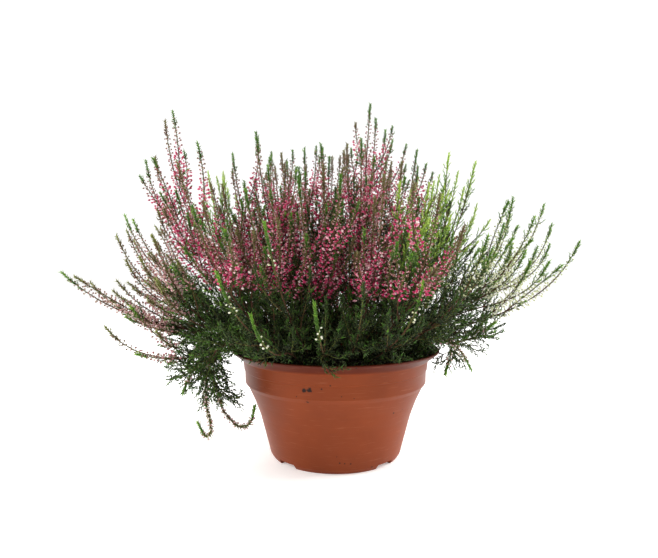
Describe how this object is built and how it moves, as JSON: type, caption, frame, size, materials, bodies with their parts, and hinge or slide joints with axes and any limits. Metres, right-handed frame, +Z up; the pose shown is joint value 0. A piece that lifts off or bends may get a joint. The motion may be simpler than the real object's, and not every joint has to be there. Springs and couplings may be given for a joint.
{
  "type": "potted heather",
  "caption": "Bud-blooming heather with pink, cream and green sprays that fan out of a flared round plastic half pot filled with peat",
  "frame": {"origin": "under the middle of the whole plant's outline, at the level the pot stands on", "axes": "+Z up, -Y the plant's front, +X to the right seen from the front"},
  "size_m": [0.503, 0.326, 0.343],
  "materials": {
    "pot": "injection-moulded polypropylene, satin, terracotta-coloured",
    "peat": "moist peat, crumbly, dark brown",
    "heather_pink": "waxy flower buds, deep pink with paler tips, on brown twigs",
    "heather_pale": "waxy flower buds, dusty pale pink, on brown twigs",
    "heather_cream": "waxy flower buds, cream to pale green, on brown twigs",
    "heather_green": "small scale leaves, fresh green, satin"
  },
  "bodies": {
    "root": {"peat": "peat", "pot": "pot", "spray_cream_31": "heather_cream", "spray_cream_33": "heather_cream", "spray_cream_34": "heather_cream", "spray_cream_35": "heather_cream", "spray_cream_36": "heather_cream", "spray_cream_37": "heather_cream", "spray_cream_50": "heather_cream", "spray_green_10": "heather_green", "spray_green_27": "heather_green", "spray_green_28": "heather_green", "spray_green_29": "heather_green", "spray_green_30": "heather_green", "spray_green_38": "heather_green", "spray_green_39": "heather_green", "spray_green_40": "heather_green", "spray_green_41": "heather_green", "spray_green_42": "heather_green", "spray_green_43": "heather_green", "spray_green_44": "heather_green", "spray_green_45": "heather_green", "spray_green_46": "heather_green", "spray_green_49": "heather_green", "spray_green_52": "heather_green", "spray_green_53": "heather_green", "spray_pale_01": "heather_pale", "spray_pale_02": "heather_pale", "spray_pale_03": "heather_pale", "spray_pale_04": "heather_pale", "spray_pale_05": "heather_pale", "spray_pale_06": "heather_pale", "spray_pink_07": "heather_pink", "spray_pink_08": "heather_pink", "spray_pink_09": "heather_pink", "spray_pink_11": "heather_pink", "spray_pink_12": "heather_pink", "spray_pink_13": "heather_pink", "spray_pink_14": "heather_pink", "spray_pink_15": "heather_pink", "spray_pink_16": "heather_pink", "spray_pink_17": "heather_pink", "spray_pink_18": "heather_pink", "spray_pink_19": "heather_pink", "spray_pink_20": "heather_pink", "spray_pink_21": "heather_pink", "spray_pink_22": "heather_pink", "spray_pink_23": "heather_pink", "spray_pink_24": "heather_pink", "spray_pink_25": "heather_pink", "spray_pink_26": "heather_pink", "spray_pink_32": "heather_pink", "spray_pink_47": "heather_pink", "spray_pink_48": "heather_pink", "spray_pink_51": "heather_pink", "spray_trailing_54": "heather_green", "spray_trailing_55": "heather_green", "spray_trailing_56": "heather_green", "spray_trailing_57": "heather_green"}
  },
  "joints": []
}
